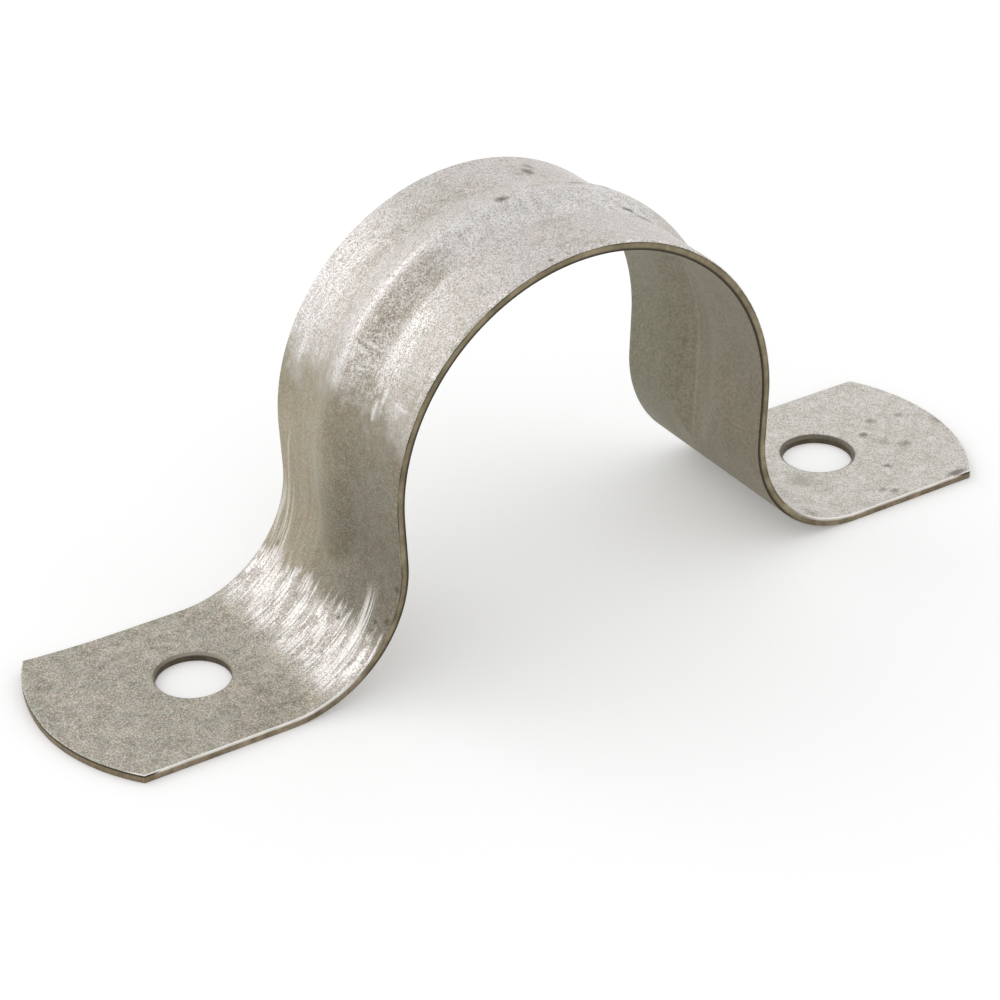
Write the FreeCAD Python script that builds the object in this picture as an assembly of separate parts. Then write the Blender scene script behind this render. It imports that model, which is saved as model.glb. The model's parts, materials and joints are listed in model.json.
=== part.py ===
import FreeCAD, Part
import math
import os

# Two-hole conduit strap, bent from one strip of zinc-coated steel sheet.
# Frame: X runs from foot to foot, Y across the strip (along the conduit), Z up.
# Origin: on the mounting surface, below the crown, half way across the strip.
# Lengths are in millimetres and angles in degrees.

# Driving dimensions
strip_w = 19.0          # width of the strip
strip_t = 0.8           # thickness of the sheet
overall_l = 89.8        # from tip to tip
arch_r = 17.3           # inside radius of the arch that holds the conduit
arch_wrap = 92.5        # how far the arch runs down each side from the crown
leg_l = 3.8             # straight leg between the arch and the lower bend
bend_r = 10.3           # radius of the lower bend, on the strip's top face
hole_spacing = 63.4     # between the two screw holes
hole_d = 6.2            # punched screw hole
hole_roll_r = 0.3       # edge that the punch rolls in, on the top face
tip_r = 16.5            # radius of the foot's parted end
rib_w = 8.4             # stiffening rib, from toe to toe
rib_h = 0.95            # how far the rib stands out of the strip
die_y = 0.5             # rib and holes lie this far off the strip's middle
tip_y = 1.0             # so does the centre of the parted end
edge_r = 0.15           # rounding of the top face's outer edges

# Values that follow from them
top_r = arch_r + strip_t
under_r = bend_r + strip_t
lean = math.radians(arch_wrap - 90)
arch_z = under_r + (arch_r + under_r) * math.sin(lean) + leg_l * math.cos(lean)
bend_x = (arch_r + under_r) * math.cos(lean) - leg_l * math.sin(lean)
crown_z = arch_z + top_r + rib_h

# The rib's section is two pairs of equal arcs, so its wall stays one sheet thick.
rib_turn = 2 * math.atan(2 * rib_h / rib_w)
rib_mid_r = rib_w / 4 / math.sin(rib_turn)

# Below the leg the rib runs straight on for this long, past the point where the bend has left it.
run_out_l = 2 * math.sqrt(2 * under_r * rib_h)


def on_circle(centre_x, centre_z, radius, angle):
    """A point in the XZ plane, with the angle in radians up from +X."""
    return FreeCAD.Vector(centre_x + radius * math.cos(angle), 0, centre_z + radius * math.sin(angle))


def mirrored(point):
    return FreeCAD.Vector(-point.x, point.y, point.z)


def arc_edge(start, middle, end):
    return Part.Arc(start, middle, end).toShape()


def side_line(lift):
    """Foot tip, foot's inner end, bend middle, bend top and arch end of the right side.

    lift is 0 on the strip's underside and strip_t on its top face.
    """
    reach = under_r - lift
    half_bend = (math.pi / 2 + lean) / 2
    return [
        FreeCAD.Vector(overall_l / 2, 0, lift),
        on_circle(bend_x, under_r, reach, -math.pi / 2),
        on_circle(bend_x, under_r, reach, -math.pi / 2 - half_bend),
        on_circle(bend_x, under_r, reach, math.pi - lean),
        on_circle(0, arch_z, arch_r + lift, -lean),
    ]


def face_line(lift):
    """The edges of one face of the strip, from the left tip over the arch to the right tip."""
    tip, heel, bend_mid, bend_top, arch_end = side_line(lift)
    crown = on_circle(0, arch_z, arch_r + lift, math.pi / 2)
    return [
        Part.makeLine(mirrored(tip), mirrored(heel)),
        arc_edge(mirrored(heel), mirrored(bend_mid), mirrored(bend_top)),
        Part.makeLine(mirrored(bend_top), mirrored(arch_end)),
        arc_edge(mirrored(arch_end), crown, arch_end),
        Part.makeLine(arch_end, bend_top),
        arc_edge(bend_top, bend_mid, heel),
        Part.makeLine(heel, tip),
    ]


def plain_strap():
    """The bent strip with its parted ends, before the rib and the holes."""
    top_tip = FreeCAD.Vector(overall_l / 2, 0, strip_t)
    under_tip = FreeCAD.Vector(overall_l / 2, 0, 0)
    ends = [Part.makeLine(under_tip, top_tip), Part.makeLine(mirrored(under_tip), mirrored(top_tip))]
    edges = Part.__sortEdges__(face_line(0) + face_line(strip_t) + ends)
    profile = Part.Face(Part.Wire(edges))
    profile.translate(FreeCAD.Vector(0, -strip_w / 2, 0))
    strip = profile.extrude(FreeCAD.Vector(0, strip_w, 0))

    tip_x = overall_l / 2 - tip_r
    outline = Part.makeBox(2 * tip_x, 2 * strip_w, 2 * crown_z, FreeCAD.Vector(-tip_x, -strip_w, -crown_z))
    for side in (-1, 1):
        centre = FreeCAD.Vector(side * tip_x, tip_y, -crown_z)
        outline = outline.fuse(Part.makeCylinder(tip_r, 2 * crown_z, centre))
    return strip.common(outline)


def rib_section(lift, base):
    """The rib's section as a face at the crown, in the YZ plane.

    Its upper side is the rib's inner line (lift 0) or outer line (lift strip_t).
    Its lower side is a straight line at the height base above the arch's inside.
    """
    flat_z = arch_z + arch_r
    middle_z = flat_z + strip_t / 2
    toe_r = rib_mid_r + strip_t / 2 - lift
    crest_r = rib_mid_r - strip_t / 2 + lift

    def toe_point(side, turn):
        centre_z = middle_z + rib_mid_r
        y = side * (rib_w / 2 - toe_r * math.sin(turn))
        return FreeCAD.Vector(0, die_y + y, centre_z - toe_r * math.cos(turn))

    def crest_point(turn):
        centre_z = middle_z + rib_h - rib_mid_r
        return FreeCAD.Vector(0, die_y + crest_r * math.sin(turn), centre_z + crest_r * math.cos(turn))

    corner_low = FreeCAD.Vector(0, die_y - rib_w / 2, flat_z + base)
    corner_high = FreeCAD.Vector(0, die_y + rib_w / 2, flat_z + base)
    edges = [
        Part.makeLine(corner_low, toe_point(-1, 0)),
        arc_edge(toe_point(-1, 0), toe_point(-1, rib_turn / 2), toe_point(-1, rib_turn)),
        arc_edge(crest_point(-rib_turn), crest_point(0), crest_point(rib_turn)),
        arc_edge(toe_point(1, rib_turn), toe_point(1, rib_turn / 2), toe_point(1, 0)),
        Part.makeLine(toe_point(1, 0), corner_high),
        Part.makeLine(corner_high, corner_low),
    ]
    return Part.Face(Part.Wire(edges))


def rib_sweep(section):
    """The section carried round the arch and down both legs."""
    axis_point = FreeCAD.Vector(0, 0, arch_z)
    start = section.copy()
    start.rotate(axis_point, FreeCAD.Vector(0, 1, 0), -arch_wrap)
    pieces = [start.revolve(axis_point, FreeCAD.Vector(0, 1, 0), 2 * arch_wrap)]
    pieces += [leg_stretch(section, side, 0, leg_l) for side in (-1, 1)]
    return pieces


def leg_stretch(section, side, skip, length):
    """A straight stretch of rib along one leg's line, starting skip below the arch."""
    piece = section.copy()
    piece.rotate(FreeCAD.Vector(0, 0, arch_z), FreeCAD.Vector(0, 1, 0), side * arch_wrap)
    down = FreeCAD.Vector(-side * math.sin(lean), 0, -math.cos(lean))
    piece.translate(down * skip)
    return piece.extrude(down * length)


def run_out(section, side):
    """The rib's last stretch runs straight on while the strip turns out from under it.

    It is kept only on the top face's side of the sheet's middle, where it dies away.
    """
    bend_start = FreeCAD.Vector(side * bend_x, -strip_w, under_r)
    inside_bend = Part.makeCylinder(bend_r + strip_t / 2, 2 * strip_w, bend_start, FreeCAD.Vector(0, 1, 0))
    return leg_stretch(section, side, leg_l, run_out_l).common(inside_bend)


def ribbed(strap):
    """The strap with its rib raised on the top face and pressed hollow from the underside."""
    rise = rib_section(strip_t, strip_t / 2)
    strap = strap.fuse(rib_sweep(rise) + [run_out(rise, side) for side in (-1, 1)])
    hollow = rib_section(0, -rib_h)
    legs = [leg_stretch(hollow, side, leg_l, run_out_l) for side in (-1, 1)]
    return strap.cut(rib_sweep(hollow) + legs).removeSplitter()


def middle_of(edge):
    return edge.valueAt((edge.FirstParameter + edge.LastParameter) / 2)


def is_arc_of(edge, radius):
    return isinstance(edge.Curve, Part.Circle) and abs(edge.Curve.Radius - radius) < 1e-6


def rounded_rim(strap):
    """Round the outer edges of the top face, first the long ones and then the tips."""
    underside = Part.Wire(face_line(0))
    underside.translate(FreeCAD.Vector(0, -strip_w / 2, 0))
    underside = underside.extrude(FreeCAD.Vector(0, strip_w, 0))

    def is_on_top(edge):
        return Part.Vertex(middle_of(edge)).distToShape(underside)[0] > 0.9 * strip_t

    long_sides = [face for face in strap.Faces if face.BoundBox.YLength < edge_r]
    long_edges = [edge for face in long_sides for edge in face.Edges if is_on_top(edge)]
    strap = strap.makeFillet(edge_r, long_edges).Solids[0]
    tip_edges = [edge for edge in strap.Edges if is_arc_of(edge, tip_r) and is_on_top(edge)]
    return strap.makeFillet(edge_r, tip_edges).Solids[0]


def punch():
    """The metal that one screw hole takes away, its axis along Z through the origin."""
    radius = hole_d / 2
    roll_z = strip_t - hole_roll_r
    roll_start = FreeCAD.Vector(radius, 0, roll_z)
    roll_end = FreeCAD.Vector(radius + hole_roll_r, 0, strip_t)
    roll_middle = on_circle(radius + hole_roll_r, roll_z, hole_roll_r, math.radians(135))
    corners = [roll_end, FreeCAD.Vector(0, 0, strip_t), FreeCAD.Vector(0, 0, 0)]
    corners += [FreeCAD.Vector(radius, 0, 0), roll_start]
    edges = [Part.makeLine(start, end) for start, end in zip(corners, corners[1:])]
    profile = Part.Face(Part.Wire(edges + [arc_edge(roll_start, roll_middle, roll_end)]))
    return profile.revolve(FreeCAD.Vector(0, 0, 0), FreeCAD.Vector(0, 0, 1), 360)


def punched(strap):
    """Punch the two screw holes, with their top edges rolled in."""
    for side in (-1, 1):
        hole = punch()
        hole.translate(FreeCAD.Vector(side * hole_spacing / 2, die_y, 0))
        strap = strap.cut(hole)
    return strap


def main():
    strap = rounded_rim(punched(ribbed(plain_strap())))
    os.makedirs("parts", exist_ok=True)
    strap.exportStep("parts/strap.step")


main()
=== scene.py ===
import json
import math

import bpy
import numpy as np
from mathutils import Euler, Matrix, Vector


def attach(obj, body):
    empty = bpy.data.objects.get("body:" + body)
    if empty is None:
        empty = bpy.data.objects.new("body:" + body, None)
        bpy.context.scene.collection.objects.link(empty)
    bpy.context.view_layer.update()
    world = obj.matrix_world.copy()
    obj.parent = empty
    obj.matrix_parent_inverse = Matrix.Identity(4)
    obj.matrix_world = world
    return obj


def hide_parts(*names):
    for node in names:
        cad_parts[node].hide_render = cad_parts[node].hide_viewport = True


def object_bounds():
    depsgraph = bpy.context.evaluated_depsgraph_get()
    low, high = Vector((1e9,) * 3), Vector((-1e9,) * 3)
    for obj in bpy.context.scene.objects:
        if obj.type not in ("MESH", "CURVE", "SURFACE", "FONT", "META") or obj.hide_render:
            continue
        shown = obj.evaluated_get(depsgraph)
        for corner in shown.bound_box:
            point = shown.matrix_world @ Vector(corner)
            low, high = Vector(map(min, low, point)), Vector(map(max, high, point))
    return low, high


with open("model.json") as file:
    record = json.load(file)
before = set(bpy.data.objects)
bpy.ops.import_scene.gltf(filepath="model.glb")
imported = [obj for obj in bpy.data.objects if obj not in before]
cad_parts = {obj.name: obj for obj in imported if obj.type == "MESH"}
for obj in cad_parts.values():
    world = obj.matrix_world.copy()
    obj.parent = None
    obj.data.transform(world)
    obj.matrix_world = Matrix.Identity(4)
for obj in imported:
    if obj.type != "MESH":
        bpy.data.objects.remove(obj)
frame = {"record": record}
cad_low, cad_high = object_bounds()

# Two-hole conduit strap, cut flat from zinc-coated strip, then drawn over a die.
# Lengths are in metres. "Along" runs down the strip from the crown, negative to the
# left, "across" runs from its near edge to its far edge, and "depth" goes through
# the sheet from its middle, up towards the top face.

# Driving dimensions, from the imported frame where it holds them
MM = 0.001
mounts = {mount["name"]: mount for mount in frame["record"]["mounts"]}
ARCH_R = mounts["conduit_seat"]["dims"]["r_mm"] * MM
ARCH_Z = mounts["conduit_seat"]["pos_m"][2]
HOLE_X = mounts["screw_holes"]["dims"]["spacing_x_mm"] / 2 * MM
HOLE_R = mounts["screw_holes"]["dims"]["hole_r_mm"] * MM
DIE_Y = mounts["screw_holes"]["pos_m"][1]
STRIP_W = cad_high.y - cad_low.y
TIP_X = cad_high.x
SHEET = 0.8 * MM
WRAP = math.radians(92.5)
LEG = 3.8 * MM
TIP_R = 16.5 * MM
TIP_Y = 1.0 * MM
RIB_W = 8.4 * MM
EDGE_R = 0.15 * MM
BURR_R = 0.06 * MM             # rounding of the underside's edges
RIB_BLEND = 0.12 * MM          # how softly the rib runs out into the sheet
RIB_SETTLE = 0.02 * MM         # takes back what that softening lifts

# Values that follow from them
LEAN = WRAP - math.pi / 2
UNDER_R = (ARCH_Z - LEG * math.cos(LEAN) - ARCH_R * math.sin(LEAN)) / (1 + math.sin(LEAN))
ARCH_MID = ARCH_R + SHEET / 2
BEND_MID = UNDER_R - SHEET / 2
RIB_H = cad_high.z - ARCH_Z - ARCH_R - SHEET
BEND_X = (ARCH_R + UNDER_R) * math.cos(LEAN) - LEG * math.sin(LEAN)
ARCH_END = ARCH_MID * WRAP
BEND_START = ARCH_END + LEG
BEND_END = BEND_START + BEND_MID * WRAP
HOLE_ALONG = BEND_END + HOLE_X - BEND_X
TIP_ALONG = BEND_END + TIP_X - TIP_R - BEND_X
RIB_TURN = 2 * math.atan(2 * RIB_H / RIB_W)
RIB_MID = RIB_W / 4 / math.sin(RIB_TURN)

# Small ways in which the two sides differ, left (-1) and right (1)
TIP_LIFT = 0.6 * MM                     # how far the left foot's far corner is turned up
TIP_LIFT_START = BEND_END + 6 * MM
TIP_LIFT_RUN = 10.7 * MM
ROLL = {-1: 0.3 * MM, 1: 0.45 * MM}     # how softly each hole's top edge is rolled in


# ---------------------------------------------------------------- the flat blank

CELL = 0.42 * MM
BLOCK = HOLE_R + 1.5 * MM      # half the side of the square of sheet around a hole
TIP_CELLS = 8 * MM             # length of grid past that square, drawn out to the parted tip
RING_STEPS = 5
RING_SPREAD = 0.8              # below 1 the rings lie closer together towards the hole
CORNER_STEPS = 5
BURR_STEPS = 2
TOP_FACE, UNDERSIDE, CUT_WALL = range(3)


def spaced(start, end):
    """Evenly spaced values about one cell apart, without the last."""
    count = max(2, round((end - start) / CELL))
    return list(np.linspace(start, end, count + 1)[:-1])


def blank_lines():
    """The cut lines across and along the strip that its cells lie between."""
    across_stops = [-STRIP_W / 2, DIE_Y - BLOCK, DIE_Y + BLOCK, STRIP_W / 2]
    across = sum((spaced(a, b) for a, b in zip(across_stops, across_stops[1:])), [])
    across.append(across_stops[-1])
    along_stops = [0, HOLE_ALONG - BLOCK, HOLE_ALONG + BLOCK, HOLE_ALONG + BLOCK + TIP_CELLS]
    along = sum((spaced(a, b) for a, b in zip(along_stops, along_stops[1:])), [])
    along.append(along_stops[-1])
    along = np.array(along)
    return np.concatenate([-along[:0:-1], along]), np.array(across)


class Blank:
    """The flat strip's cells, and the closed lines of its outer rim and its two holes."""

    def __init__(self):
        self.along, self.across = blank_lines()
        self.columns, self.rows = len(self.along), len(self.across)
        self.cells = []
        self.rings = {}
        self.count = self.columns * self.rows
        self.unused = np.zeros((self.columns, self.rows), bool)
        blocks = {side: self.block(side) for side in (-1, 1)}
        for i in range(self.columns - 1):
            for j in range(self.rows - 1):
                if not any(a <= i < b and c <= j < d for a, b, c, d in blocks.values()):
                    corners = (i, j), (i + 1, j), (i + 1, j + 1), (i, j + 1)
                    self.cells.append(tuple(self.at(*corner) for corner in corners))
        for side, (a, b, c, d) in blocks.items():
            self.unused[a + 1:b, c + 1:d] = True
            square = [(i, c) for i in range(a, b)] + [(b, j) for j in range(c, d)]
            square += [(i, d) for i in range(b, a, -1)] + [(a, j) for j in range(d, c, -1)]
            self.add_ring(side, square)
        last, top = self.columns - 1, self.rows - 1
        rim = [(i, 0) for i in range(last)] + [(last, j) for j in range(top)]
        rim += [(i, top) for i in range(last, 0, -1)] + [(0, j) for j in range(top, 0, -1)]
        self.rim = [self.at(i, j) for i, j in rim]

    def at(self, i, j):
        return i * self.rows + j

    def block(self, side):
        """First and last column and row of the square of sheet around one hole."""
        slack = CELL / 100
        along = [side * HOLE_ALONG - BLOCK - slack, side * HOLE_ALONG + BLOCK - slack]
        across = [DIE_Y - BLOCK - slack, DIE_Y + BLOCK - slack]
        return (*np.searchsorted(self.along, along), *np.searchsorted(self.across, across))

    def add_ring(self, side, square):
        """Rings of cells from the square of sheet in to the round hole."""
        outer = [self.at(i, j) for i, j in square]
        size = len(outer)
        first = self.count
        starts = [first + k * size for k in range(RING_STEPS)]
        loops = [outer] + [list(range(start, start + size)) for start in starts]
        for inside, outside in zip(loops[1:], loops):
            for k in range(size):
                n = (k + 1) % size
                self.cells.append((outside[k], outside[n], inside[n], inside[k]))
        self.rings[side] = loops
        self.count += size * RING_STEPS

    def places(self, inset, roll):
        """Along and across of every point, the rim drawn in by inset and each hole opened by roll."""
        half = STRIP_W / 2 - inset
        across = np.clip(self.across, -half, half)
        grid_v = np.tile(across, (self.columns, 1))
        tip_start = HOLE_ALONG + BLOCK
        reach = np.sqrt((TIP_R - inset) ** 2 - (across - TIP_Y) ** 2) + TIP_ALONG
        share = (np.abs(self.along) - tip_start) / (np.abs(self.along).max() - tip_start)
        grid_u = np.tile(self.along[:, None], (1, self.rows))
        in_tip = share > 0
        side = np.sign(self.along[in_tip])[:, None]
        grid_u[in_tip] = side * (tip_start + share[in_tip][:, None] * (reach[None, :] - tip_start))
        points = np.zeros((self.count, 2))
        points[: self.columns * self.rows, 0] = grid_u.ravel()
        points[: self.columns * self.rows, 1] = grid_v.ravel()
        for side, loops in self.rings.items():
            centre = np.array([side * HOLE_ALONG, DIE_Y])
            outer = points[loops[0]]
            outward = outer - centre
            outward /= np.linalg.norm(outward, axis=1)[:, None]
            circle = centre + outward * (HOLE_R + roll[side])
            for k, loop in enumerate(loops[1:], 1):
                points[loop] = outer + (circle - outer) * (k / RING_STEPS) ** RING_SPREAD
        return points


def rounded(radius, steps):
    """Inset and drop of the points of a rounded corner, from the flat face to the cut wall."""
    angles = np.linspace(0, math.pi / 2, steps + 1)
    return [(radius * (1 - math.sin(a)), radius * (1 - math.cos(a))) for a in angles]


def blank_mesh():
    """The closed flat blank, lying along X with its sheet's middle at Z = 0."""
    blank = Blank()
    verts, faces = [], []
    used = ~blank.unused.ravel()
    used = np.concatenate([used, np.ones(blank.count - len(used), bool)])

    def face_points(inset, roll, depth):
        flat = blank.places(inset, roll)
        return np.column_stack([flat, np.full(len(flat), depth)])

    top = face_points(EDGE_R, ROLL, SHEET / 2)
    under = face_points(BURR_R, {side: BURR_R for side in ROLL}, -SHEET / 2)
    verts += [top, under]
    faces += blank.cells
    faces += [tuple(index + blank.count for index in reversed(cell)) for cell in blank.cells]
    kinds = [TOP_FACE] * len(blank.cells) + [UNDERSIDE] * len(blank.cells)

    def wall(loop, sections):
        """Bands of cells round a cut edge, from the top face's loop to the underside's."""
        lines = [loop]
        for inset, roll, depth in sections:
            start = sum(len(v) for v in verts)
            verts.append(face_points(inset, roll, depth)[loop])
            lines.append(list(range(start, start + len(loop))))
        lines.append([index + blank.count for index in loop])
        for step, (upper, lower) in enumerate(zip(lines, lines[1:])):
            for k in range(len(loop)):
                n = (k + 1) % len(loop)
                faces.append((upper[n], upper[k], lower[k], lower[n]))
                kinds.append(TOP_FACE if step < CORNER_STEPS - 1 else CUT_WALL)

    low_corner = [(inset, SHEET / 2 - drop) for inset, drop in rounded(BURR_R, BURR_STEPS)][::-1]
    middle = [(0, depth) for depth in np.linspace(SHEET / 4, -SHEET / 4, 3)]

    def sections(radius):
        """Inset and depth of each line round a cut wall whose top edge has the given radius."""
        high_corner = [(inset, SHEET / 2 - drop) for inset, drop in rounded(radius, CORNER_STEPS)][1:]
        low = [(inset, -depth) for inset, depth in low_corner[:-1]]
        walls = [(inset, depth) for inset, depth in middle if depth < high_corner[-1][1] - BURR_R]
        return high_corner + walls + low

    wall(blank.rim, [(inset, ROLL, depth) for inset, depth in sections(EDGE_R)])
    for side, loops in blank.rings.items():
        wall(loops[-1][::-1], [(0, {**ROLL, side: inset}, depth) for inset, depth in sections(ROLL[side])])

    points = np.concatenate(verts)
    mesh = bpy.data.meshes.new("strap_blank")
    keep = np.concatenate([used, used, np.ones(len(points) - 2 * blank.count, bool)])
    renumber = np.cumsum(keep) - 1
    mesh.from_pydata(points[keep], [], [tuple(renumber[list(face)]) for face in faces])
    mesh.attributes.new("kind_of_face", "INT", "FACE").data.foreach_set("value", kinds)
    mesh.shade_smooth()
    return mesh


# ---------------------------------------------------------------- node wiring

class Wiring:
    """Short ways to add nodes to a tree."""

    def __init__(self, tree):
        self.tree = tree

    def node(self, kind, inputs=None, **settings):
        made = self.tree.nodes.new(kind)
        for name, value in settings.items():
            setattr(made, name, value)
        for name, value in (inputs or {}).items():
            self.feed(made.inputs[name], value)
        return made

    def feed(self, socket, value):
        if isinstance(value, bpy.types.NodeSocket):
            self.tree.links.new(value, socket)
        else:
            socket.default_value = value

    def math(self, operation, *values, clamp=False):
        made = self.node("ShaderNodeMath", operation=operation, use_clamp=clamp)
        for socket, value in zip(made.inputs, values):
            self.feed(socket, value)
        return made.outputs[0]

    def between(self, value, low, high):
        return self.math("MINIMUM", self.math("MAXIMUM", value, low), high)

    def chain(self, operation, values):
        result = values[0]
        for value in values[1:]:
            result = self.math(operation, result, value)
        return result

    def total(self, *values):
        return self.chain("ADD", values)

    def product(self, *values):
        return self.chain("MULTIPLY", values)

    def largest(self, *values):
        return self.chain("MAXIMUM", values)

    def rest_of(self, share):
        """What share leaves of 1."""
        return self.math("SUBTRACT", 1, share)

    def step(self, value, low, high):
        """0 below low, 1 above high, and smooth from one to the other."""
        inputs = {"Value": value, "From Min": low, "From Max": high}
        return self.node("ShaderNodeMapRange", inputs, interpolation_type="SMOOTHSTEP").outputs[0]

    def mix(self, share, first, second):
        made = self.node("ShaderNodeMix", data_type="RGBA")
        for index, value in ((0, share), (6, first), (7, second)):
            self.feed(made.inputs[index], value)
        return made.outputs[2]

    def mix_number(self, share, first, second):
        made = self.node("ShaderNodeMix", data_type="FLOAT")
        for index, value in ((0, share), (2, first), (3, second)):
            self.feed(made.inputs[index], value)
        return made.outputs[0]

    def noise(self, place, scale, seed, detail, roughness):
        inputs = {"Vector": place, "Scale": scale, "W": seed, "Detail": detail, "Roughness": roughness}
        return self.node("ShaderNodeTexNoise", inputs, noise_dimensions="4D").outputs[0]


# ---------------------------------------------------------------- forming over the die

FORMING_SIZES = {
    "Arch radius": ARCH_MID,
    "Arch height": ARCH_Z,
    "Wrap": WRAP,
    "Leg": LEG,
    "Bend radius": BEND_MID,
    "Rib width": RIB_W,
    "Rib arc radius": RIB_MID,
    "Die offset": DIE_Y,
    "Tip lift": TIP_LIFT,
    "Tip lift start": TIP_LIFT_START,
    "Tip lift run": TIP_LIFT_RUN,
}


def forming_tree(finishes):
    """Bends the flat blank over the die: arch, legs, lower bends and feet, with the rib pressed out."""
    tree = bpy.data.node_groups.new("form strap over die", "GeometryNodeTree")
    tree.interface.new_socket("Blank", in_out="INPUT", socket_type="NodeSocketGeometry")
    for name in FORMING_SIZES:
        tree.interface.new_socket(name, in_out="INPUT", socket_type="NodeSocketFloat")
    tree.interface.new_socket("Strap", in_out="OUTPUT", socket_type="NodeSocketGeometry")
    w = Wiring(tree)
    m, total, product = w.math, w.total, w.product
    size = w.node("NodeGroupInput").outputs

    place = w.node("GeometryNodeInputPosition").outputs[0]
    flat = w.node("ShaderNodeSeparateXYZ", {0: place}).outputs
    in_mm = w.node("ShaderNodeVectorMath", {0: place, "Scale": 1 / MM}, operation="SCALE").outputs[0]
    laid_out = w.node(
        "GeometryNodeStoreNamedAttribute",
        {"Geometry": size["Blank"], "Name": "laid_out", "Value": in_mm},
        data_type="FLOAT_VECTOR", domain="POINT",
    )

    side = m("SIGN", flat["X"])
    along = m("ABSOLUTE", flat["X"])
    arch_end = product(size["Arch radius"], size["Wrap"])
    past_arch = m("SUBTRACT", along, arch_end)
    past_leg = m("SUBTRACT", past_arch, size["Leg"])

    # How far the strip has turned down over the arch, and back up in the lower bend
    arch_turn = m("DIVIDE", m("MINIMUM", along, arch_end), size["Arch radius"])
    bend_turn = w.between(m("DIVIDE", past_leg, size["Bend radius"]), 0, size["Wrap"])
    turn_left = m("SUBTRACT", size["Wrap"], bend_turn)
    heading = m("SUBTRACT", arch_turn, bend_turn)
    leg_run = w.between(past_arch, 0, size["Leg"])
    foot_run = m("MAXIMUM", m("SUBTRACT", past_leg, product(size["Bend radius"], size["Wrap"])), 0)
    sin_wrap, cos_wrap = m("SINE", size["Wrap"]), m("COSINE", size["Wrap"])

    # The rib's section is two pairs of equal arcs, and it dies out where the strip turns from it
    toe = m("ABSOLUTE", m("SUBTRACT", flat["Y"], size["Die offset"]))
    quarter = m("DIVIDE", size["Rib width"], 4)
    half = m("DIVIDE", size["Rib width"], 2)
    radius_sq = product(size["Rib arc radius"], size["Rib arc radius"])

    def arc_rise(reach):
        return m("SQRT", m("SUBTRACT", radius_sq, product(reach, reach)))

    past_toe = w.between(m("SUBTRACT", half, toe), 0, quarter)
    toe_rise = m("SUBTRACT", size["Rib arc radius"], arc_rise(past_toe))
    crest_rise = m("SUBTRACT", arc_rise(m("MINIMUM", toe, quarter)), arc_rise(quarter))
    into_bend = m("MAXIMUM", past_leg, 0)
    sunk = m("DIVIDE", product(into_bend, into_bend), product(size["Bend radius"], 2))
    rise = total(toe_rise, crest_rise)
    rib = m("SMOOTH_MAX", m("SUBTRACT", rise, sunk), 0, RIB_BLEND)
    rib = m("MAXIMUM", m("SUBTRACT", rib, RIB_SETTLE), 0)

    # The left foot's far corner is turned up a little
    past_start = m("SUBTRACT", along, size["Tip lift start"])
    tip_share = w.between(m("DIVIDE", past_start, size["Tip lift run"]), 0, 1)
    far_share = w.between(m("DIVIDE", flat["Y"], STRIP_W / 2), 0, 1)
    left_share = m("MAXIMUM", product(side, -1), 0)
    lift = product(tip_share, tip_share, far_share, left_share, size["Tip lift"])

    out = total(flat["Z"], rib, lift)
    x = total(
        product(size["Arch radius"], m("SINE", arch_turn)),
        product(leg_run, cos_wrap),
        product(size["Bend radius"], m("SUBTRACT", sin_wrap, m("SINE", turn_left))),
        foot_run,
        product(out, m("SINE", heading)),
    )
    z = total(
        size["Arch height"],
        product(size["Arch radius"], m("COSINE", arch_turn)),
        product(leg_run, sin_wrap, -1),
        product(size["Bend radius"], m("SUBTRACT", cos_wrap, m("COSINE", turn_left))),
        product(out, m("COSINE", heading)),
    )
    formed = w.node("ShaderNodeCombineXYZ", {"X": product(x, side), "Y": flat["Y"], "Z": z}).outputs[0]
    bent = w.node("GeometryNodeSetPosition", {"Geometry": laid_out.outputs[0], "Position": formed})
    strap = w.node("GeometryNodeRealizeInstances", {"Geometry": bent.outputs[0]}).outputs[0]
    kind = w.node("GeometryNodeInputNamedAttribute", {"Name": "kind_of_face"}, data_type="INT").outputs[0]
    for index, finish in enumerate(finishes):
        same = w.node("FunctionNodeCompare", {2: kind, 3: index}, data_type="INT", operation="EQUAL")
        inputs = {"Geometry": strap, "Selection": same.outputs[0], "Material": finish}
        strap = w.node("GeometryNodeSetMaterial", inputs).outputs[0]
    w.node("NodeGroupOutput", {"Strap": strap})
    return tree


def formed_strap(finishes):
    flat = bpy.data.objects.new("strap_blank", blank_mesh())
    bpy.context.scene.collection.objects.link(flat)
    forming = flat.modifiers.new("forming", "NODES")
    forming.node_group = forming_tree(finishes)
    for item in forming.node_group.interface.items_tree:
        if item.in_out == "INPUT" and item.name in FORMING_SIZES:
            forming[item.identifier] = FORMING_SIZES[item.name]
    evaluated = flat.evaluated_get(bpy.context.evaluated_depsgraph_get())
    mesh = bpy.data.meshes.new_from_object(evaluated)
    strap = bpy.data.objects.new("formed_strap", mesh)
    bpy.context.scene.collection.objects.link(strap)
    bpy.data.objects.remove(flat)
    return strap


# ---------------------------------------------------------------- finish effects

def shade(*levels):
    """A colour given as it looks on a chart, 0 to 255, for a node's socket."""
    shares = [level / 255 for level in levels]
    return (*(((c + 0.055) / 1.055) ** 2.4 if c > 0.04045 else c / 12.92 for c in shares), 1)


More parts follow.
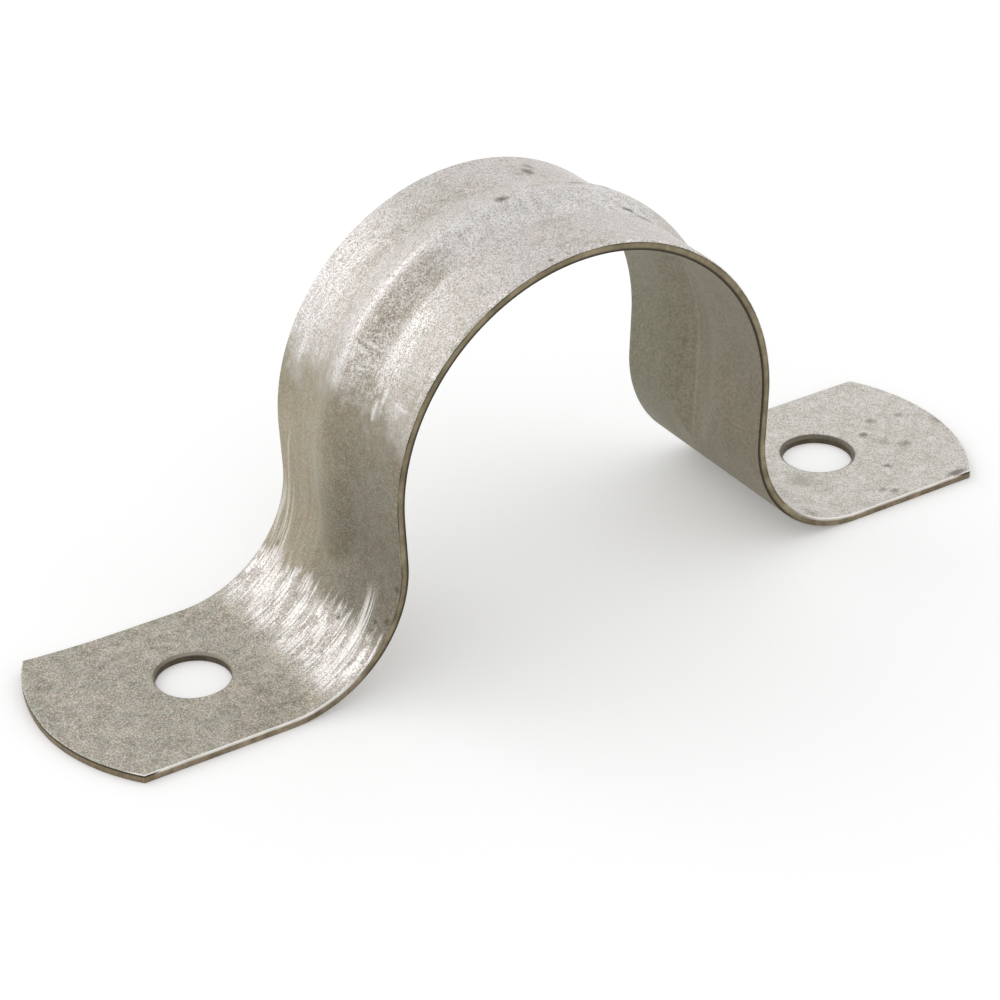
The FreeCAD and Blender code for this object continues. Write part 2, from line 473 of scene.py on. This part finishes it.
def effect(name, numbers, result, place=True):
    """A new shader group that takes named numbers and, mostly, a place on the flat strip in millimetres."""
    group = bpy.data.node_groups.new(name, "ShaderNodeTree")
    if place:
        group.interface.new_socket("Place", in_out="INPUT", socket_type="NodeSocketVector")
    for label, value in numbers.items():
        socket = group.interface.new_socket(label, in_out="INPUT", socket_type="NodeSocketFloat")
        socket.default_value = value
    for label in result:
        group.interface.new_socket(label, in_out="OUTPUT", socket_type="NodeSocketFloat")
    w = Wiring(group)
    return group, w, w.node("NodeGroupInput").outputs


def zone_effect():
    """1 between Start and End along whatever At measures, with ends softened by Fade."""
    numbers = {"At": 0.0, "Start": 0.0, "End": 0.0, "Fade": 0.0}
    group, w, given = effect("zone", numbers, ["Mask"], place=False)

    def passed(edge):
        low, high = w.math("SUBTRACT", edge, given["Fade"]), w.total(edge, given["Fade"])
        return w.step(given["At"], low, high)

    mask = w.product(passed(given["Start"]), w.rest_of(passed(given["End"])))
    w.node("NodeGroupOutput", {"Mask": mask})
    return group


def grain_effect():
    """Fine grain and larger blotches of a zinc coat, each from 0 to 1 around 0.5."""
    numbers = {"Grain Size": 0.25, "Blotch Size": 1.5, "Seed": 0.0}
    group, w, given = effect("zinc grain", numbers, ["Grain", "Blotches"])
    place, seed = given["Place"], given["Seed"]
    fine = w.noise(place, w.math("DIVIDE", 1, given["Grain Size"]), seed, detail=2, roughness=0.7)
    large = w.noise(place, w.math("DIVIDE", 1, given["Blotch Size"]), seed, detail=3, roughness=0.62)
    w.node("NodeGroupOutput", {"Grain": w.step(fine, 0.3, 0.7), "Blotches": w.step(large, 0.32, 0.68)})
    return group


def streak_effect():
    """Streaks that run along the strip, as a die rubs them in. Cover is how much of the face they take."""
    numbers = {"Length": 5.0, "Width": 0.3, "Slant": 0.0, "Cover": 0.5, "Seed": 0.0}
    group, w, given = effect("draw streaks", numbers, ["Streaks"])
    softness = 0.07
    flat = w.node("ShaderNodeSeparateXYZ", {0: given["Place"]}).outputs
    across = w.math("SUBTRACT", flat["Y"], w.product(flat["X"], given["Slant"]))
    along = w.math("DIVIDE", flat["X"], given["Length"])
    across = w.math("DIVIDE", across, given["Width"])
    stretched = w.node("ShaderNodeCombineXYZ", {"X": along, "Y": across}).outputs[0]
    found = w.noise(stretched, 1.0, given["Seed"], detail=2, roughness=0.55)
    edge = w.math("SUBTRACT", 0.75, w.product(given["Cover"], 0.5))
    streaks = w.step(found, w.math("SUBTRACT", edge, softness), w.total(edge, softness))
    w.node("NodeGroupOutput", {"Streaks": streaks})
    return group


def knock_effect():
    """One dent or smudge, an uneven oval at a given place."""
    numbers = {"Along": 0.0, "Across": 0.0, "Length": 1.0, "Width": 1.0}
    group, w, given = effect("knock", numbers, ["Mask"])
    flat = w.node("ShaderNodeSeparateXYZ", {0: given["Place"]}).outputs
    along = w.math("DIVIDE", w.math("SUBTRACT", flat["X"], given["Along"]), given["Length"])
    across = w.math("DIVIDE", w.math("SUBTRACT", flat["Y"], given["Across"]), given["Width"])
    reach = w.math("SQRT", w.total(w.product(along, along), w.product(across, across)))
    rough = w.noise(given["Place"], 2.2, 3.0, detail=2, roughness=0.6)
    ragged = w.product(w.math("SUBTRACT", rough, 0.5), 0.9)
    mask = w.rest_of(w.step(w.total(reach, ragged), 0.05, 0.7))
    w.node("NodeGroupOutput", {"Mask": mask})
    return group


ZONE, GRAIN, STREAKS, KNOCK = zone_effect(), grain_effect(), streak_effect(), knock_effect()


class Finish(Wiring):
    """A material of the strap, with its place on the flat strip to hand, in millimetres."""

    def __init__(self, name, metallic):
        self.material = bpy.data.materials.new(name)
        self.material.use_nodes = True
        super().__init__(self.material.node_tree)
        self.shader = self.tree.nodes["Principled BSDF"]
        self.shader.inputs["Metallic"].default_value = metallic
        self.place = self.node("ShaderNodeAttribute", attribute_name="laid_out").outputs["Vector"]
        flat = self.node("ShaderNodeSeparateXYZ", {0: self.place}).outputs
        self.along, self.across, self.depth = flat["X"], flat["Y"], flat["Z"]
        self.from_crown = self.math("ABSOLUTE", self.along)

    def use(self, group, **numbers):
        made = self.node("ShaderNodeGroup", node_tree=group)
        for label, value in numbers.items():
            self.feed(made.inputs[label.replace("_", " ").title()], value)
        if "Place" in made.inputs.keys():
            self.feed(made.inputs["Place"], self.place)
        return made.outputs

    def zone(self, at, start, end, fade):
        return self.use(ZONE, at=at, start=start, end=end, fade=fade)["Mask"]

    def streaks(self, **numbers):
        return self.use(STREAKS, **numbers)["Streaks"]

    def mark(self, along, across, length, width):
        return self.use(KNOCK, along=along, across=across, length=length, width=width)["Mask"]

    def varied(self, value, amount):
        """value, which lies around 0.5, turned into a change of up to half of amount either way."""
        return self.product(self.math("SUBTRACT", value, 0.5), amount)

    def lay(self, colour, tone, mask, strength=1.0):
        """colour with tone laid over it where mask is, no stronger than strength."""
        return self.mix(self.product(mask, strength), colour, shade(*tone))

    def grained(self, colour, grain, troughs, peaks, strength=1.0):
        """colour with the grain's troughs darkened and its peaks made paler.

        Each of the two is given as a contrast and a tone.
        """
        darker = self.math("MULTIPLY", self.math("SUBTRACT", 0.5, grain), troughs[0], clamp=True)
        paler = self.math("MULTIPLY", self.math("SUBTRACT", grain, 0.5), peaks[0], clamp=True)
        colour = self.lay(colour, troughs[1], darker, strength)
        return self.lay(colour, peaks[1], paler, strength)

    def finished(self, colour, roughness, height, relief):
        self.feed(self.shader.inputs["Base Color"], colour)
        self.feed(self.shader.inputs["Roughness"], roughness)
        bump = self.node("ShaderNodeBump", {"Height": height, "Distance": relief, "Strength": 1.0})
        self.feed(self.shader.inputs["Normal"], bump.outputs[0])
        return self.material


# Knocks and smudges of the top face: along, across, length and width in millimetres, and how dark
KNOCKS = [
    (-1.7, 0.4, 1.1, 0.8, 0.85), (4.2, 5.9, 1.1, 1.5, 0.8), (5.0, 7.1, 0.8, 1.3, 0.5),
    (3.0, 5.5, 1.0, 0.7, 0.4), (5.0, 4.8, 0.7, 0.6, 0.4), (5.3, 0.9, 1.5, 0.5, 0.6),
    (8.1, 0.9, 1.0, 0.8, 0.6), (8.7, -2.2, 1.4, 0.5, 0.75), (10.1, -2.8, 1.6, 0.5, 0.7),
    (-3.3, -8.9, 0.6, 0.5, 0.8), (58.6, 0.7, 1.0, 0.9, 0.7), (60.8, 2.4, 1.1, 1.0, 0.5),
    (63.6, 1.8, 1.0, 0.9, 0.45), (60.8, -2.6, 1.4, 1.1, 0.5), (59.5, -1.2, 1.3, 1.3, 0.3),
    (57.0, -4.8, 1.1, 1.0, 0.7), (54.0, -7.8, 1.0, 0.8, 0.5), (54.8, -8.5, 1.1, 0.7, 0.6),
    (44.8, -8.6, 1.4, 1.2, 0.4), (61.4, -9.1, 2.2, 1.0, 0.8), (65.9, -0.8, 1.1, 1.8, 0.4),
    (48.7, -2.6, 3.4, 2.4, 0.3), (-40.4, -3.6, 0.5, 0.5, 0.9), (-38.6, -7.7, 0.5, 0.4, 0.8),
    (-37.9, -9.0, 0.6, 0.6, 0.9), (-34.9, -9.2, 0.7, 0.5, 0.9), (-41.5, 2.3, 0.6, 0.5, 0.5),
    (-39.2, 7.8, 0.7, 0.6, 0.5),
]

# Pale scratches on the arch, most on its left shoulder: along, across, length and width
SCRATCHES = [
    (-20.5, 7.2, 3.4, 0.6), (-21.0, -4.4, 2.0, 0.6), (-19.8, -5.1, 2.4, 0.6), (-19.6, -7.5, 0.5, 2.0),
    (-17.6, -0.7, 0.5, 1.8), (-16.9, -1.6, 0.4, 2.0), (-18.4, -0.4, 1.2, 0.6), (-18.9, -1.5, 0.4, 1.2),
    (-18.1, -1.9, 0.9, 0.5), (5.8, -2.0, 3.2, 0.35),
]


class CoatedFace(Finish):
    """The top face: a matt zinc coat, worn bright where the die drew the strip, with painted highlights and
    painted shade laid on by area.

    The areas are laid on in turn, from the feet up. Each zone has its start, its end and
    its fade in millimetres, measured from the crown, along the strip or across it.
    """

    def __init__(self):
        super().__init__("zinc coated face", 0.85)
        fine = self.use(GRAIN, grain_size=0.13, blotch_size=1.3, seed=1.0)
        wide = self.use(GRAIN, grain_size=0.7, blotch_size=5.5, seed=2.0)
        self.grain, self.blotches = fine["Grain"], fine["Blotches"]
        self.clouds, self.wide_blotches = wide["Grain"], wide["Blotches"]
        self.right = self.step(self.along, -6, 6)
        uneven = self.total(
            self.varied(self.wide_blotches, 2.0),
            self.varied(self.blotches, 2.0),
            self.varied(self.grain, 2.5),
        )
        self.ragged = self.total(self.from_crown, uneven, self.step(self.across, 3.0, -3.0))
        self.arch = self.rest_of(self.step(self.ragged, 18.5, 24.0))
        # A line that bows out towards the far edge above the left foot
        bow = self.product(self.math("POWER", self.total(self.along, 33.4), 2.0), 0.036)
        self.bowed = self.total(self.across, bow)
        self.broad = self.streaks(length=2.6, width=1.1, slant=0.05, cover=0.55, seed=8.0)

    def feet(self):
        """Darker on the left than on the right, the right foot painted paler as a painted highlight, with
        smears of paler and darker zinc.
        """
        mottle = self.total(self.product(self.clouds, 0.45), self.product(self.blotches, 0.55))
        smears = self.streaks(length=2.2, width=0.8, cover=0.5, seed=12.0)
        near_tip = self.math("SUBTRACT", self.from_crown, self.product(self.across, 1.2))
        left = self.mix(mottle, shade(120, 114, 92), shade(208, 197, 178))
        left = self.lay(left, (188, 186, 178), smears, 0.35)
        left = self.lay(left, (150, 150, 132), self.wide_blotches, 0.35)
        left = self.lay(left, (204, 201, 190), self.step(near_tip, 56.0, 72.0), 0.15)
        # The right foot is painted paler and cooler than the left: a painted highlight in place of a lamp's
        # reflection.
        right = self.mix(mottle, shade(200, 196, 184), shade(236, 232, 228))
        return self.mix(self.right, left, right)

    def necks(self, colour):
        """The neck of each leg, olive and darker, partly dull zinc and partly painted shade, and tan towards
        the far edge.
        """
        above_band = self.rest_of(self.step(self.from_crown, 39.0, 42.0))
        neck = self.product(self.step(self.ragged, 19.5, 24.5), above_band)
        self.neck = self.product(neck, self.mix_number(self.right, 1.0, 0.55))
        # The neck's olive darkness is partly dull zinc and partly painted shade, deepest towards the bend.
        low = self.step(self.from_crown, 31.0, 39.0)
        colour = self.mix(self.neck, colour, self.mix(low, shade(127, 120, 100), shade(116, 110, 92)))

        veil = self.step(self.total(self.across, self.varied(self.wide_blotches, 3.0)), -4.0, 6.0)
        far_neck = self.product(self.neck, veil, self.mix_number(self.right, 1.0, 0.3))
        colour = self.lay(colour, (166, 154, 126), far_neck, 0.8)
        faint = self.streaks(length=9.0, width=0.5, slant=0.02, cover=0.5, seed=9.0)
        slanted = self.streaks(length=1.6, width=0.4, slant=-1.2, cover=0.5, seed=14.0)
        slanted = self.product(slanted, self.zone(self.from_crown, 24.0, 30.0, 2.0))
        faint = self.product(far_neck, self.largest(faint, slanted))
        colour = self.lay(colour, (192, 181, 158), faint, 0.28)

        green = self.product(
            self.zone(self.across, 6.2, 12.0, 1.0),
            self.zone(self.from_crown, 20.0, 26.0, 2.0),
            self.step(self.clouds, 0.1, 0.7),
        )
        colour = self.lay(colour, (140, 136, 108), green, self.mix_number(self.right, 0.7, 0.2))
        left_neck = self.zone(self.along, -38.0, -28.0, 1.5)
        die_line = self.product(self.zone(self.bowed, 8.3, 8.5, 0.12), left_neck)
        return self.lay(colour, (224, 214, 196), die_line, 0.6)

    def over_the_arch(self, colour):
        """Paler, with olive mottling where the shoulders' scuffs and painted highlights don't lie over it."""
        colour = self.mix(self.arch, colour, shade(217, 211, 208))
        olive = self.product(
            self.arch,
            self.step(self.wide_blotches, 0.3, 0.9),
            self.step(self.clouds, 0.2, 0.9),
            self.mix_number(self.step(self.along, 8.0, 2.0), 0.4, 1.0),
        )
        colour = self.lay(colour, (168, 158, 134), olive, 0.5)
        green = self.product(
            self.arch,
            self.zone(self.across, 2.0, 9.0, 1.5),
            self.zone(self.from_crown, 3.0, 8.0, 2.0),
            self.clouds,
        )
        return self.lay(colour, (178, 176, 160), green, 0.35)

    def drawn_band_and_highlight(self, colour):
        """Bright drawn streaks in the lower bends, a few of them long: polished lines, with a painted
        highlight of the lamp laid in the bend's ground and streaks.
        """
        slide = self.streaks(length=3.0, width=0.5, slant=0.06, cover=0.5, seed=4.0)
        top = self.step(self.total(self.from_crown, self.product(slide, 1.4)), 39.8, 41.6)
        band = self.product(top, self.rest_of(self.step(self.from_crown, 44.8, 46.8)))
        # The band's paler ground is a painted highlight, where the lamp shines in the bend.
        colour = self.lay(colour, (184, 175, 170), band, 0.8)
        fine = self.streaks(length=4.0, width=0.19, slant=0.08, cover=0.55, seed=5.0)
        broken = self.step(self.total(self.grain, self.broad), 0.3, 1.5)
        self.drawn = self.product(band, fine, broken)
        self.drawn_lines = self.product(fine, band)
        # Near-white streaks: polished lines with a painted highlight laid in them.
        colour = self.lay(colour, (249, 246, 243), self.drawn, 0.85)

        near_streaks = self.product(
            self.zone(self.math("SUBTRACT", self.across, self.product(self.along, 0.12)), -2.3, -1.0, 0.3),
            self.zone(self.along, -45.5, -36.8, 1.3),
            self.streaks(length=9.0, width=0.3, slant=0.12, cover=0.55, seed=6.0),
        )
        far_streaks = self.product(
            self.zone(self.bowed, 7.6, 10.0, 0.6),
            self.zone(self.along, -45.0, -34.0, 2.0),
            self.streaks(length=8.0, width=0.3, slant=0.1, cover=0.5, seed=17.0),
        )
        self.long_streaks = self.largest(near_streaks, self.product(far_streaks, 0.7))
        # Long streaks: polished lines, painted bright as a painted highlight.
        return self.lay(colour, (240, 237, 234), self.long_streaks, 0.8)

    def shoulders(self, colour):
        """Pale lines and patches on the shoulders of the arch, partly scuffs and partly painted highlights on
        the rib's crest and toe, with stains and painted shade on the rib's near flank between them.
        """
        shoulder = self.zone(self.from_crown, 9.0, 20.5, 3.0)
        rough = self.step(self.grain, 0.1, 0.8)
        scuffs = self.streaks(length=1.8, width=0.35, slant=-0.1, cover=0.55, seed=7.0)
        worn_through = self.largest(self.product(rough, 0.25), self.product(rough, scuffs))
        # A painted highlight along the rib's crest, broken by the grain.
        crest = self.product(
            self.zone(self.across, 0.3, 0.7, 0.25), self.zone(self.from_crown, 8.0, 19.5, 2.5), rough, 1.3
        )
        # Pale patches and a line on the rib's near toe: scuffed zinc with a painted highlight in it.
        toe_scuffs_and_highlight = self.product(
            self.zone(self.across, -5.4, -3.6, 0.6), self.zone(self.from_crown, 11.0, 19.5, 2.0), worn_through
        )
        toe_highlight_line = self.product(
            self.zone(self.across, -4.5, -3.5, 0.3),
            self.zone(self.from_crown, 10.0, 18.5, 2.0),
            self.step(self.broad, -0.2, 1.0),
            0.8,
        )
        crisp = self.mix_number(self.step(self.grain, 0.3, 0.65), 0.4, 1.3)
        toe = self.product(self.largest(toe_scuffs_and_highlight, toe_highlight_line), crisp)
        # Scuffs towards the far edge, painted bright as a painted highlight.
        far_scuffs_and_highlight = self.product(self.zone(self.across, 5.6, 10.0, 0.8), shoulder, scuffs, rough)
        self.scuffed_and_highlit = self.largest(crest, toe, far_scuffs_and_highlight)

        speckle = self.step(self.total(self.blotches, self.product(self.grain, -0.6)), -0.3, 0.5)
        speckle = self.mix_number(0.4, speckle, 1.0)
        # Olive darkening on the rib's near flank, its toes, the near band and the lower shoulder: mottled
        # stains, with painted shade on the rib's near flank.
        flank = self.product(
            self.zone(self.across, -3.2, -0.1, 0.4), self.zone(self.from_crown, 8.5, 25.0, 2.5), speckle
        )
        far_toe = self.product(
            self.zone(self.across, 3.8, 6.2, 0.8), self.zone(self.along, -14.0, -4.0, 3.0), speckle, 0.5
        )
        near_toe = self.product(
            self.zone(self.across, -5.6, -3.2, 0.5), self.zone(self.from_crown, 10.0, 20.5, 2.0), speckle, 0.3
        )
        near_side = self.product(
            self.zone(self.across, -12.0, -5.8, 0.8), self.zone(self.from_crown, 8.0, 24.0, 3.0), speckle, 0.3
        )
        lower = self.product(
            self.zone(self.across, -6.0, -0.1, 0.8),
            self.zone(self.along, -25.0, -18.0, 1.5),
            self.step(self.blotches, 0.25, 0.6),
            0.8,
        )
        stains_and_flank_shade = self.largest(flank, far_toe, near_toe, near_side, lower)
        # Stains, and painted shade on the rib's near flank.
        colour = self.lay(colour, (138, 126, 99), stains_and_flank_shade, self.mix_number(self.right, 0.75, 0.35))
        # The shoulders' scuffs and painted highlights, laid on pale.
        colour = self.lay(colour, (244, 242, 241), self.scuffed_and_highlit, 0.65)
        # A painted highlight: the crown's near flank painted pale where the lamp leaves it shaded.
        crown = self.product(
            self.zone(self.across, -3.1, 0.6, 0.5),
            self.zone(self.along, -8.5, 12.0, 2.0),
            self.step(self.clouds, 0.0, 0.8),
        )
        return self.lay(colour, (242, 241, 240), crown, 0.8)

    def scratches(self, colour):
        """Fine lines along the arch, flecks where the neck meets the shoulder, and single scratches."""
        lines = self.product(self.arch, self.streaks(length=7.0, width=0.22, cover=0.5, seed=16.0))
        colour = self.lay(colour, (244, 242, 240), lines, 0.16)
        flecks = self.use(GRAIN, grain_size=0.22, blotch_size=1.2, seed=3.0)
        scraped = self.product(
            self.step(flecks["Grain"], 0.55, 0.9),
            self.step(flecks["Blotches"], 0.3, 0.7),
            self.zone(self.from_crown, 16.0, 21.0, 1.5),
            self.zone(self.across, -6.5, 0.5, 1.0),
            self.mix_number(self.right, 0.8, 0.4),
        )
        scraped = self.largest(scraped, *(self.mark(*scratch) for scratch in SCRATCHES))
        return self.lay(colour, (246, 244, 241), scraped, 0.8)

    def finest_grain(self, colour):
        """The finest grain over all, faint on the neck, with a hint of red and green."""
        strength = self.rest_of(self.product(self.neck, 0.6))
        troughs, peaks = (1.3, (108, 104, 88)), (1.3, (246, 242, 240))
        colour = self.grained(colour, self.grain, troughs, peaks, strength)
        tint = self.use(GRAIN, grain_size=0.5, blotch_size=1.1, seed=15.0)
        colour = self.lay(colour, (206, 178, 176), tint["Grain"], 0.14)
        return self.lay(colour, (168, 186, 168), tint["Blotches"], 0.14)

    def corners(self, colour):
        """Rounded corners: pale along the feet and in specks round the arch, worn edges with a painted
        highlight on them, and darker round the holes, a painted shade on the rolled rims.
        """
        corner = self.rest_of(self.step(self.depth, 0.355, 0.3995))
        specks = self.product(
            self.streaks(length=1.4, width=2.0, cover=0.45, seed=13.0),
            self.step(self.from_crown, 25.0, 22.0),
            self.step(self.across, 0.0, -1.0),
            self.step(self.grain, 0.2, 0.8),
        )
        side_corner = self.product(
            corner,
            self.step(self.math("ABSOLUTE", self.across), 8.0, 9.0),
            self.largest(self.step(self.from_crown, 40.0, 46.0), specks),
        )
        beside = self.product(specks, self.step(self.across, -8.95, -9.25))
        # Pale corners: worn edges with a painted highlight along them.
        colour = self.lay(colour, (248, 246, 242), self.largest(side_corner, beside), 0.85)
        # Darker rolled rims round the holes: painted shade where the rim turns down into the hole.
        hole_corner = self.product(
            corner, self.zone(self.across, -5.0, 6.0, 0.3), self.zone(self.from_crown, 40.0, 60.0, 0.5), 0.85
        )
        return self.mix(hole_corner, colour, self.mix(self.right, shade(150, 144, 128), shade(86, 80, 60)))

    def built(self):
        colour = self.feet()
        for layer in (self.necks, self.over_the_arch, self.drawn_band_and_highlight, self.shoulders,
                      self.scratches, self.finest_grain, self.corners):
            colour = layer(colour)
        dents = self.largest(*(self.product(self.mark(*knock), depth) for *knock, depth in KNOCKS))
        colour = self.lay(colour, (100, 94, 74), dents)

        dull = self.total(0.46, self.product(self.grain, 0.08), self.product(self.neck, 0.08))
        polished = self.largest(self.drawn, self.scuffed_and_highlit, self.long_streaks)
        roughness = self.math("SUBTRACT", dull, self.product(polished, 0.16))
        height = self.total(
            self.grain,
            self.product(self.blotches, 0.8),
            self.product(self.drawn_lines, 0.6),
            self.product(dents, -3.0),
        )
        return self.finished(colour, roughness, height, 0.012 * MM)


def inside_face_finish():
    """The underside: a dull olive brown, with painted light and shade of the rib, paler on the near half and
    on the rib's far flank, and a painted highlight, a paler line, along the inside of the rib's crest.
    """
    f = Finish("dull inside face", 0.55)
    grain = f.use(GRAIN, grain_size=0.24, blotch_size=2.2, seed=11.0)
    near = f.rest_of(f.step(f.across, 0.5, 0.9))
    groove = f.product(f.zone(f.across, 1.4, 3.6, 0.7), f.step(f.from_crown, 14.0, 20.0))
    # The lighter near half and the lighter far flank are painted light and shade that follow the rib's
    # slopes.
    colour = f.mix(near, shade(134, 131, 112), shade(144, 136, 119))
    colour = f.lay(colour, (148, 143, 124), groove)
    # A painted highlight along the crest line inside the rib.
    colour = f.lay(colour, (172, 162, 144), f.zone(f.across, 0.6, 0.9, 0.2), 0.5)
    colour = f.lay(colour, (124, 119, 97), grain["Blotches"], 0.35)
    colour = f.grained(colour, grain["Grain"], (0.8, (96, 92, 74)), (0.7, (176, 168, 150)))
    roughness = f.total(0.5, f.product(grain["Grain"], 0.1))
    return f.finished(colour, roughness, grain["Grain"], 0.01 * MM)


def sheared_edge_finish():
    """The cut walls: bare steel, paler where the blade smeared it and dark where the metal tore, with a
    painted highlight along the top of the feet's walls and painted shade in the holes and under the arch
    walls' top edge.
    """
    f = Finish("sheared edge", 0.6)
    grain = f.use(GRAIN, grain_size=0.18, blotch_size=1.2, seed=21.0)
    tears = f.streaks(length=2.5, width=0.12, seed=22.0)
    foot = f.step(f.from_crown, 40.0, 46.0)
    tip = f.step(f.from_crown, 61.0, 62.0)
    arch, before_tip = f.rest_of(foot), f.rest_of(tip)
    hole = f.product(f.zone(f.across, -5.0, 6.0, 0.2), before_tip)
    upper = f.step(f.depth, 0.08, 0.2)
    lower = f.rest_of(f.step(f.depth, -0.3, -0.08))

    smeared = f.mix(grain["Blotches"], shade(122, 112, 86), shade(152, 140, 113))
    torn = f.mix(grain["Blotches"], shade(112, 100, 79), shade(160, 145, 122))
    parted = f.mix(grain["Blotches"], shade(118, 104, 82), shade(146, 130, 105))
    colour = f.mix(tip, f.mix(foot, smeared, torn), parted)
    # A painted highlight along the rounded top of the feet's walls.
    colour = f.lay(colour, (226, 221, 212), f.product(foot, before_tip, upper))
    # Dark: torn steel low on the arch walls and high on the tip walls, painted shade in a thin line under the
    # arch walls' rounded top broken by tears, and painted shade inside the holes.
    dark = f.largest(
        f.product(arch, lower),
        f.product(tip, upper),
        f.product(arch, f.step(f.depth, 0.16, 0.24), f.mix_number(tears, 0.25, 0.8)),
        f.product(hole, 0.7),
    )
    colour = f.lay(colour, (48, 41, 30), dark, 0.95)
    colour = f.lay(colour, (78, 66, 48), tears, 0.25)
    roughness = f.total(0.5, f.product(dark, 0.15))
    height = f.math("SUBTRACT", grain["Grain"], dark)
    return f.finished(colour, roughness, height, 0.015 * MM)


def floor_finish():
    """A matt pale floor, a shade lighter to the eye and in the metal than it lights the strap."""
    material = bpy.data.materials.new("pale floor")
    material.use_nodes = True
    w = Wiring(material.node_tree)
    shader = material.node_tree.nodes["Principled BSDF"]
    place = w.node("ShaderNodeTexCoord").outputs["Object"]
    mottle = w.noise(place, 9.0, 31.0, detail=3, roughness=0.5)
    w.feed(shader.inputs["Base Color"], w.mix(mottle, (0.90, 0.90, 0.90, 1), (0.93, 0.93, 0.93, 1)))
    shader.inputs["Roughness"].default_value = 0.9
    shader.inputs["Specular IOR Level"].default_value = 0.1
    shader.inputs["Emission Color"].default_value = (1, 1, 1, 1)
    rays = w.node("ShaderNodeLightPath").outputs
    seen = w.largest(rays["Is Camera Ray"], rays["Is Glossy Ray"], rays["Is Transmission Ray"])
    w.feed(shader.inputs["Emission Strength"], w.product(seen, FLOOR_GLOW))
    return material


# ---------------------------------------------------------------- strap, floor, light and camera

FLOOR_REACH = 3.0              # from the middle of the floor to its sides
FLOOR_DROP = 0.02 * MM         # keeps the floor clear of the feet
FLOOR_GLOW = 0.17
LAMP_PLACE = (-0.36, 0.58, 0.43)
LAMP_AIM = (0, 0, 0.015)
LAMP_SIDE = 0.60
LAMP_POWER = 0.85
SKY_HEIGHTS = 0.38, 0.90       # the sky's level changes between these heights
SKY_LEVELS = 1.02, 0.78        # from the one below to the one above them
CAMERA_LENS = 105.927          # in millimetres, on a 36 mm sensor
CAMERA_SENSOR = 36
CAMERA_PLACE = (-0.11501, -0.17794, 0.13538)
CAMERA_TURN = (1.02531, 0.01166, -0.57058)

strap = formed_strap([CoatedFace().built(), inside_face_finish(), sheared_edge_finish()])
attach(strap, "root")
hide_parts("strap")


def pale_floor():
    corners = [(x * FLOOR_REACH, y * FLOOR_REACH, 0) for x, y in ((-1, -1), (1, -1), (1, 1), (-1, 1))]
    mesh = bpy.data.meshes.new("floor")
    mesh.from_pydata(corners, [], [(0, 1, 2, 3)])
    mesh.materials.append(floor_finish())
    made = bpy.data.objects.new("floor", mesh)
    made.location.z = -FLOOR_DROP
    bpy.context.scene.collection.objects.link(made)
    return made


def soft_box(name, place, aim, side, power):
    """A square studio lamp at place, turned to aim."""
    light = bpy.data.lights.new(name, "AREA")
    light.shape = "SQUARE"
    light.size = side
    light.energy = power
    lamp = bpy.data.objects.new(name, light)
    lamp.location = place
    lamp.rotation_euler = (Vector(aim) - Vector(place)).to_track_quat("-Z", "Y").to_euler()
    bpy.context.scene.collection.objects.link(lamp)


def studio_world():
    """Even white light, a little stronger from the sides than from above."""
    world = bpy.data.worlds.new("studio")
    world.use_nodes = True
    w = Wiring(world.node_tree)
    direction = w.node("ShaderNodeTexCoord").outputs["Generated"]
    height = w.node("ShaderNodeSeparateXYZ", {0: direction}).outputs["Z"]
    levels = {"Value": height, "From Min": SKY_HEIGHTS[0], "From Max": SKY_HEIGHTS[1],
              "To Min": SKY_LEVELS[0], "To Max": SKY_LEVELS[1]}
    level = w.node("ShaderNodeMapRange", levels, interpolation_type="SMOOTHSTEP").outputs[0]
    background = world.node_tree.nodes["Background"]
    w.feed(background.inputs["Strength"], level)
    background.inputs["Color"].default_value = (1, 1, 1, 1)
    return world


pale_floor()
soft_box("back_left_lamp", LAMP_PLACE, LAMP_AIM, LAMP_SIDE, LAMP_POWER)
bpy.context.scene.world = studio_world()

camera_data = bpy.data.cameras.new("camera")
camera_data.lens = CAMERA_LENS
camera_data.sensor_width = CAMERA_SENSOR
camera = bpy.data.objects.new("camera", camera_data)
camera.location = CAMERA_PLACE
camera.rotation_euler = Euler(CAMERA_TURN)
bpy.context.scene.collection.objects.link(camera)
bpy.context.scene.camera = camera

bpy.context.scene.view_settings.view_transform = "Standard"
